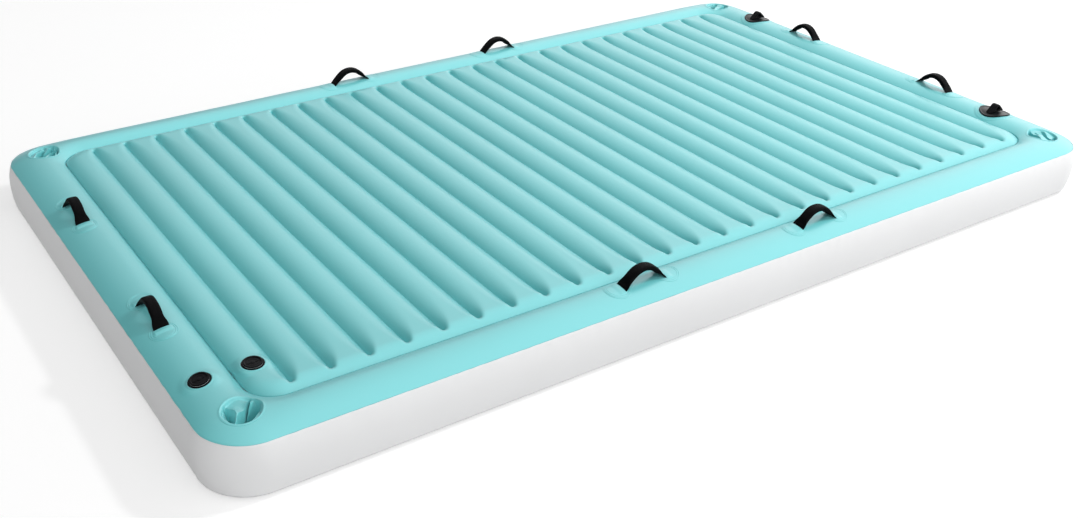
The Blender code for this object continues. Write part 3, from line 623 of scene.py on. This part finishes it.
# Rows of a well: the folds, and then the welded rim that laps over the ring.
fold_radius, fold_rows = 0.0474, 66
lip_radius = [0.0474, 0.0480, 0.0492, 0.0505, 0.0527, 0.0530]
lip_rise = [0.0, 0.0008, 0.0012, 0.0010, 0.0007, -0.0001]
turn = full_turn(200)
radius = np.concatenate([fold_radius * np.linspace(0.012, 0.985, fold_rows), lip_radius])[:, None]
rise = np.concatenate([np.zeros(fold_rows), lip_rise])[:, None]
from_x, from_y = radius * np.cos(turn), radius * np.sin(turn)
across = (from_x * camera_right[0] + from_y * camera_right[1]) / fold_radius
away = (from_y * camera_right[0] - from_x * camera_right[1]) / fold_radius
faces = np.concatenate([tube_faces(len(radius), len(turn), False), cap_faces(0, len(turn))])
for name, (x, y) in zip(cup_names, cup_places):
    fold = np.where(radius < fold_radius, crumple(across, away, crease_lines[name]), 0)
    points = laid_pad(ring_top, x + from_x, y + from_y, rise - fold)
    cup_piece = add_piece(name + "_folds", points, faces, aqua_vinyl)
    thicken(cup_piece, sheet)
    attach(cup_piece, "mat")
    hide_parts(name)


# A grab handle is one black webbing strap over two welded patches. Its flat toes lie in the
# pockets of the patches, and between them it is folded to a thick round-edged grip. The real
# strap leans at its feet, where the webbing twists; this one is built standing.
def squared_up(turn, across_power, up_power):
    """Cosine and sine, raised to powers below 1 with their signs kept: a circle squared up."""
    across, up = np.cos(turn), np.sin(turn)
    return np.sign(across) * np.abs(across) ** across_power, np.sign(up) * np.abs(up) ** up_power


def round_faces(rows, around):
    """Faces of a body of loops that starts at the middle of its top and ends at the middle of its
    underside."""
    top, foot = cap_faces(0, around), cap_faces(rows - 1, around)[:, ::-1]
    return np.concatenate([tube_faces(rows, around, False), top, foot])


def black_webbing():
    """Woven webbing: fine ribs across the strap, which run round it, and a faint lengthwise twill."""
    material, graph, shader = new_material("black_webbing", 0.62, Specular_IOR_Level=0.05)
    along, across = graph.parts(graph.add("ShaderNodeUVMap", {"uv_map": "surface"}))[:2]
    ribs = graph.wave(along, 0.0022)
    twill = graph.wave(along + across, 0.0011)
    wear = graph.noise(graph.add("ShaderNodeTexCoord", out="Object"), 90.0, 3.0)
    deep, pale = (0.0005, 0.0005, 0.0008, 1), (0.002, 0.002, 0.0025, 1)
    connect(graph.colour_between(wear, deep, pale), shader, "Base Color")
    connect(wear * 0.2 + 0.52, shader, "Roughness")
    connect(graph.bump(ribs + twill * 0.35, 0.5, 0.0004), shader, "Normal")
    return material


def beside(joint, along, side):
    """Places in plan beside a handle's joint: that far along its axis and to the side of it."""
    (x, y, _), (along_x, along_y, _) = joint["pos_m"], joint["axis"]
    return x + along * along_x - side * along_y, y + along * along_y + side * along_x


webbing = black_webbing()
handles = {number: joints[f"handle_{number}_lean"] for number in range(1, 9)}

# The strap's line over the skin: an arc over the grip, a bend at each foot and a flat toe.
foot_place, toe_end, grip_rise, leg_slope, toe_bend = 0.067, 0.080, 0.040, math.radians(40), 0.005
top_radius = (foot_place * math.sin(leg_slope) - grip_rise * math.cos(leg_slope)) / (1 - math.cos(leg_slope))
bend_start = foot_place + toe_bend * math.tan(leg_slope / 2)
bend, arc = np.linspace(leg_slope, 0, 8), np.linspace(0, leg_slope, 16)
half_x = np.concatenate([top_radius * np.sin(arc), bend_start - toe_bend * np.sin(bend), [toe_end]])
half_z = np.concatenate([grip_rise - top_radius * (1 - np.cos(arc)), toe_bend * (1 - np.cos(bend)), [0]])
line_x = np.concatenate([-half_x[:0:-1], half_x])
line_z = np.concatenate([half_z[:0:-1], half_z])
run = np.concatenate([[0], np.cumsum(np.hypot(np.diff(line_x), np.diff(line_z)))])
station = np.linspace(0, run[-1], 150)
line_x, line_z = np.interp(station, run, line_x), np.interp(station, run, line_z)
slope = np.arctan2(np.gradient(line_z), np.gradient(line_x))

# Low is 1 where the strap lies on the skin and follows it, and folded is 1 over the grip.
low = 1 - smooth(0.001, 0.014, line_z)
folded = smooth(0.004, 0.022, line_z)

# Its section, in half sizes: flat at the toes, and narrower and thicker where it is folded.
turn = full_turn(48)
section = squared_up(turn, 0.5, 0.7)
flat_width, grip_width = 0.0205, 0.0153
toe_thickness, leg_thickness, grip_thickness = 0.0010, 0.0020, 0.0078
strap_lift = 0.0012
width = flat_width + (grip_width - flat_width) * folded + 0.0003 * np.sin(station / 0.009)
thickness = toe_thickness + (leg_thickness - toe_thickness) * smooth(0.0, 0.004, line_z)
thickness = thickness + (grip_thickness - leg_thickness) * folded
side = section[0] * width[:, None]
lift = section[1] * thickness[:, None]
along = line_x[:, None] - lift * np.sin(slope)[:, None]
height = line_z[:, None] + lift * np.cos(slope)[:, None] + strap_lift
faces = round_faces(len(station), len(turn))
uv = np.stack(np.broadcast_arrays(station[:, None], side), axis=2).reshape(-1, 2)

for number, joint in handles.items():
    axis_x, axis_y, axis_z = joint["pos_m"]
    skin = float(ring_top(np.array(axis_x), np.array(axis_y)))
    x, y = beside(joint, along, side)
    settle = (ring_top(x, y) - skin) * low[:, None]
    points = np.stack([x, y, height + skin + settle], axis=2).reshape(-1, 3)
    strap = add_piece(f"handle_{number}_strap", points, faces, webbing, uv, 60)
    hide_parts(f"handle_{number}")
    axis_z + 0.016
    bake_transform(strap)


# Under each strap end an oval aqua patch is welded to the ring, with two embossed lines and a
# raised pocket that holds the strap's toe.
patch_place, patch_half_length, patch_half_width = 0.082, 0.038, 0.037
patch_thickness, rim_drop, under_gap = 0.0009, 0.0004, 0.0001
line_places, line_width, line_depth = (0.76, 0.90), 0.014, 0.0007
pocket_mouth, pocket_rise = 0.0685, 0.0021
turn = full_turn(160)
top_share = np.concatenate([np.linspace(0.02, 0.68, 24), np.linspace(0.70, 0.98, 36), [0.99, 1.0]])
under_share = np.concatenate([[1.0, 0.98], np.linspace(0.9, 0.02, 5)])
share = np.concatenate([top_share, under_share])
outwards = share[:, None] * np.cos(turn) * patch_half_length
across = share[:, None] * np.sin(turn) * patch_half_width
lines = sum(np.exp(-(((share - place) / line_width) ** 2)) for place in line_places)
flat = patch_thickness - line_depth * lines - rim_drop * smooth(0.985, 1.0, share)

# The pocket is steep at its mouth, and fades out behind the toe and beside the strap.
from_mouth = patch_place + outwards - pocket_mouth
pocket = smooth(-0.0012, 0.0012, from_mouth) * (1 - smooth(0.009, 0.024, from_mouth))
pocket = pocket * (1 - smooth(0.0205, 0.0265, np.abs(across)))
rise = flat[:, None] + pocket_rise * pocket
rise[len(top_share) :] = under_gap
faces = round_faces(len(share), len(turn))
for number, joint in handles.items():
    for side, letter in ((-1, "a"), (1, "b")):
        x, y = beside(joint, side * (patch_place + outwards), side * across)
        points = laid_pad(ring_top, x, y, rise)
        patch = add_piece(f"handle_{number}_patch_{letter}", points, faces, aqua_vinyl)
        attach(patch, "mat")
        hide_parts(f"handle_{number}_foot_{letter}")


# Each valve is a moulded black socket in the skin, with a bar across its foot, a one-way silicone
# flap under the bar, a screw cap and its seal. A thin aqua ring welds the flange down.
def moulded(name, tone, roughness, grain_scale=None, shine=0.06, knurl=None):
    """Moulded polymer: a faint unevenness of gloss, and either a fine grain or a diamond knurl of
    that pitch."""
    material, graph, shader = new_material(name, roughness, Specular_IOR_Level=shine)
    place = graph.add("ShaderNodeTexCoord", out="Object")
    smear = graph.noise(place, 120.0, 3.0)
    deep, pale = (tuple(part * gain for part in tone) + (1,) for gain in (0.7, 1.3))
    connect(graph.colour_between(smear, deep, pale), shader, "Base Color")
    connect(smear * 0.16 + (roughness - 0.08), shader, "Roughness")
    if knurl:
        x, y, z = graph.parts(place)
        ridges = graph.wave(x + y + z, knurl), graph.wave(x + y - z, knurl)
        relief = graph.bump(graph.maths("MAXIMUM", *ridges), 0.8, 0.0008)
    else:
        relief = graph.bump(graph.noise(place, grain_scale, 2.0), 0.25, 0.0002)
    connect(relief, shader, "Normal")
    return material


def seat_axes(joint):
    """The axes of a valve's seat as columns, with its Z along the joint's axis, and its origin."""
    normal = np.array(joint["axis"])
    level = np.array([0.0, 1.0, 0.0])
    return np.stack([np.cross(level, normal), level, normal], axis=1), np.array(joint["pos_m"])


def rounded(corners, radius, closed):
    """A profile with its corners rounded: each one becomes five points on a parabola that leaves
    the sides at the radius, or at 0.4 of a side where that is shorter."""
    corners = np.array(corners, float)
    before, after = np.roll(corners, 1, axis=0), np.roll(corners, -1, axis=0)
    pull = []
    for other in (before, after):
        length = np.linalg.norm(other - corners, axis=1, keepdims=True)
        pull.append((other - corners) * np.minimum(radius / np.maximum(length, 1e-9), 0.4))
    share = np.linspace(0, 1, 5)[None, :, None]
    arcs = corners[:, None] + pull[0][:, None] * (1 - share) ** 2 + pull[1][:, None] * share**2
    if not closed:
        return np.concatenate([corners[:1], arcs[1:-1].reshape(-1, 2), corners[-1:]])
    return arcs.reshape(-1, 2)


def turned_piece(name, profile, closed, seat, material, thread=None):
    """A piece turned about its seat's axis. A closed profile makes a ring, and an open one runs
    from the top of the axis to its foot. Between the two heights of thread a helical ridge goes
    round the outside, by its pitch and its depth."""
    turn = full_turn(144)
    radius = np.repeat(profile[:, :1], len(turn), axis=1)
    height = np.repeat(profile[:, 1:], len(turn), axis=1)
    if thread:
        low, high, pitch, ridge = thread
        phase = height / pitch - turn / (2 * np.pi)
        within = smooth(low, low + 0.001, height) * (1 - smooth(high - 0.001, high, height))
        crest = 1 - 2 * np.abs(2 * (phase - np.floor(phase)) - 1)
        outside = radius > 0.0185
        radius = radius + ridge * within * crest * outside
    axes, origin = seat
    local = np.stack([radius * np.cos(turn), radius * np.sin(turn), height], axis=2).reshape(-1, 3)
    shape = len(profile), len(turn)
    faces = tube_faces(*shape, True) if closed else round_faces(*shape)
    return add_piece(name, local @ axes.T + origin, faces, material, None, 50)


def with_bar(piece, seat, length, width, low, high):
    """Adds a bar with rounded ends across the seat's axis to a piece's mesh."""
    turn = full_turn(48)
    lean = 0.3 * width
    half = (length - width) / 2 * np.tanh(4 * np.cos(turn))
    loops = []
    for level, shrink in (
        (high, 2 * lean),
        (high, lean),
        (high - lean, 0),
        (low, 0),
        (low, lean),
        (low, 2 * lean),
    ):
        radius = (width - shrink) / 2
        x, y = half + radius * np.cos(turn), radius * np.sin(turn)
        loops.append(np.stack([x, y, np.full(len(turn), level)], axis=1))
    axes, origin = seat
    points, faces = np.concatenate(loops) @ axes.T + origin, round_faces(len(loops), len(turn))
    extra = add_piece(piece.name + "_bar", points, faces, piece.data.materials[0])
    with bpy.context.temp_override(active_object=piece, selected_editable_objects=[piece, extra]):
        bpy.ops.object.join()


def laid_round(surface, x, y, radius, rise):
    """Points of a round pad about a place: circles of those radii, laid on the surface."""
    turn = full_turn(round_steps)
    return laid_pad(surface, x + radius * np.cos(turn), y + radius * np.sin(turn), rise)


round_steps = 160
black_plastic = moulded("black_plastic", (0.002, 0.002, 0.003), 0.36, 900.0)
grey_silicone = moulded("grey_silicone", (0.35, 0.36, 0.37), 0.45, 500.0, 0.5)

# Profiles are pairs of a radius and a height above the seat.
socket_profile = (
    (0.0285, 0),
    (0.0285, 0.0016),
    (0.0195, 0.0016),
    (0.0195, -0.018),
    (0.013, -0.018),
    (0.013, -0.020),
    (0.0215, -0.020),
    (0.0215, 0),
)
seal_profile = ((0.0198, 0.0019), (0.0198, 0.0029), (0.0237, 0.0029), (0.0237, 0.0019))
cap_profile = (
    (0.0003, 0.0058),
    (0.0052, 0.0058),
    (0.0058, 0.0044),
    (0.0116, 0.0044),
    (0.0121, 0.0051),
    (0.0133, 0.0051),
    (0.0138, 0.0044),
    (0.0186, 0.0044),
    (0.0196, 0.0066),
    (0.0240, 0.0066),
    (0.0240, 0.0032),
    (0.0188, 0.0032),
    (0.0188, -0.0068),
    (0.0165, -0.0068),
    (0.0165, 0.0032),
    (0.0003, 0.0032),
)
flap_profile = (
    (0.0003, -0.0101),
    (0.0012, -0.0104),
    (0.0026, -0.0131),
    (0.0014, -0.0133),
    (0.0014, -0.0203),
    (0.0155, -0.0203),
    (0.0155, -0.0211),
    (0.0003, -0.0211),
)

# The cap's plug gets rows close enough to carry its thread.
thread = (-0.0062, 0.0026, 0.004, 0.0003)
plug_radius, plug_rows = 0.0188, 40
cap_rows = rounded(cap_profile, 0.0006, False)
plug = np.stack([np.full(plug_rows, plug_radius), np.linspace(0.0024, -0.0060, plug_rows)], axis=1)
foot = np.nonzero((cap_rows[:, 0] > 0.0187) & (cap_rows[:, 1] < -0.006))[0][0]
cap_rows = np.concatenate([cap_rows[:foot], plug, cap_rows[foot:]])

# Rows of the weld ring from the flange outwards: radius and rise, in mm.
weld_radius = np.array([28.2, 28.4, 30.0, 32.2, 33.4, 33.4])[:, None] / 1000
weld_rise = np.array([0.1, 1.2, 1.3, 1.0, 0.3, 0.1])[:, None] / 1000

for valve, surface in (("ring_valve", ring_top), ("deck_valve", deck_top)):
    seat = seat_axes(joints[valve + "_check"])
    profile = rounded(socket_profile, 0.0006, True)[::-1]
    socket = turned_piece(valve + "_moulded_socket", profile, True, seat, black_plastic)
    with_bar(socket, seat, 0.030, 0.006, -0.0198, -0.0183)
    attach(socket, "mat")
    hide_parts(valve + "_socket")

    profile = rounded(seal_profile, 0.0004, True)
    seal = turned_piece(valve + "_flat_seal", profile, True, seat, grey_silicone)
    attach(seal, valve + "_seal_ring")
    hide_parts(valve + "_seal")

    cap = turned_piece(valve + "_threaded_cap", cap_rows, False, seat, black_plastic, thread)
    with_bar(cap, seat, 0.034, 0.0055, 0.0040, 0.0054)
    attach(cap, valve + "_screw_cap")
    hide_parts(valve + "_cap")

    profile = rounded(flap_profile, 0.0003, False)
    flap = turned_piece(valve + "_check_disc", profile, False, seat, grey_silicone)
    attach(flap, valve + "_check_flap")
    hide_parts(valve + "_flap")

    points = laid_round(surface, *seat[1][:2], weld_radius, weld_rise)
    faces = tube_faces(len(weld_radius), round_steps, True)
    weld = add_piece(valve + "_weld_ring", points, faces, aqua_vinyl)
    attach(weld, "mat")


# A black moulded tow lug stands at each end of the right edge: a round dish with a turned-up
# rim, welded down inside an aqua disc, and an arched eye with a hole along the edge and a
# knurled skin.
lug_rubber = moulded("lug_rubber", (0.004, 0.005, 0.006), 0.34, 700.0, 0.12)
eye_rubber = moulded("eye_rubber", (0.003, 0.003, 0.004), 0.44, knurl=0.0052)
lug_inset, dish_radius = 0.090, 0.051

# Rows of the dish, from the middle out and back: a share of its radius, and a rise in mm.
dish_rows = (
    (0.02, 1.8),
    (0.35, 1.7),
    (0.6, 1.6),
    (0.74, 1.5),
    (0.82, 1.6),
    (0.87, 2.0),
    (0.90, 2.8),
    (0.92, 3.6),
    (0.94, 4.3),
    (0.96, 4.6),
    (0.98, 4.5),
    (0.995, 3.9),
    (1.0, 2.8),
    (0.997, 1.4),
    (0.98, 0.8),
    (0.9, 0.8),
    (0.5, 0.8),
    (0.02, 0.8),
)

# Rows of the weld disc round it, with its two embossed lines: a radius and a rise in mm.
disc_rows = (
    (49.0, 0.1),
    (49.0, 0.6),
    (52.0, 0.7),
    (55.0, 0.6),
    (55.8, 1.1),
    (56.6, 0.6),
    (60.0, 0.6),
    (61.2, 0.6),
    (61.8, 1.1),
    (62.4, 0.6),
    (65.5, 0.6),
    (66.2, 0.3),
    (66.2, 0.1),
)
dish_share, dish_rise = np.array(dish_rows).T[:, :, None]
disc_radius, disc_rise = np.array(disc_rows).T[:, :, None] / 1000

# The eye's outline, by the angle round its hole: a round top, straight flanks that are tangent
# to it and reach the foot's corners, and a flat foot.
eye_height, eye_hole, eye_round, eye_half_thickness = 0.0145, 0.007, 0.0135, 0.012
foot_half, foot_drop = 0.035, 0.0130
spin, around = full_turn(160), full_turn(48)
from_top = np.abs(np.angle(np.exp(1j * (spin - np.pi / 2))))
foot_reach = math.hypot(foot_half, foot_drop)
tangent = math.pi / 2 + math.atan2(foot_drop, foot_half) - math.acos(eye_round / foot_reach)
outer = eye_round / np.cos(np.clip(from_top - tangent, 0, 1.4))
bottom = np.where(from_top > 1.6, foot_drop / np.maximum(-np.cos(from_top), 0.02), 1.0)
outer = np.minimum(outer, bottom)[:, None]
square = squared_up(around, 0.45, 0.45)
eye_radius = (eye_hole + outer) / 2 + square[0] * (outer - eye_hole) / 2
eye_x, eye_z = eye_radius * np.cos(spin)[:, None], eye_radius * np.sin(spin)[:, None]
eye_y = np.broadcast_to(square[1] * eye_half_thickness, eye_x.shape)

for name in ("tow_lug_1", "tow_lug_2"):
    low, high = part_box(name)
    lug_x, lug_y = half_length - lug_inset, (low[1] + high[1]) / 2
    skin = float(ring_top(np.array(lug_x), np.array(lug_y)))

    points = laid_round(ring_top, lug_x, lug_y, dish_radius * dish_share, dish_rise / 1000)
    dish = add_piece(name + "_dish", points, round_faces(len(dish_rows), round_steps), lug_rubber)
    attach(dish, "mat")
    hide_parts(name)

    points = laid_round(ring_top, lug_x, lug_y, disc_radius, disc_rise)
    faces = tube_faces(len(disc_rows), round_steps, True)
    weld = add_piece(name + "_weld_disc", points, faces, aqua_vinyl)
    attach(weld, "mat")

    points = np.stack([lug_x + eye_x, lug_y + eye_y, skin + eye_height + eye_z], axis=2)
    faces = tube_faces(len(spin), len(around), True)
    eye_piece = add_piece(name + "_eye", points.reshape(-1, 3), faces, eye_rubber)
    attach(eye_piece, "mat")
    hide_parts(name)
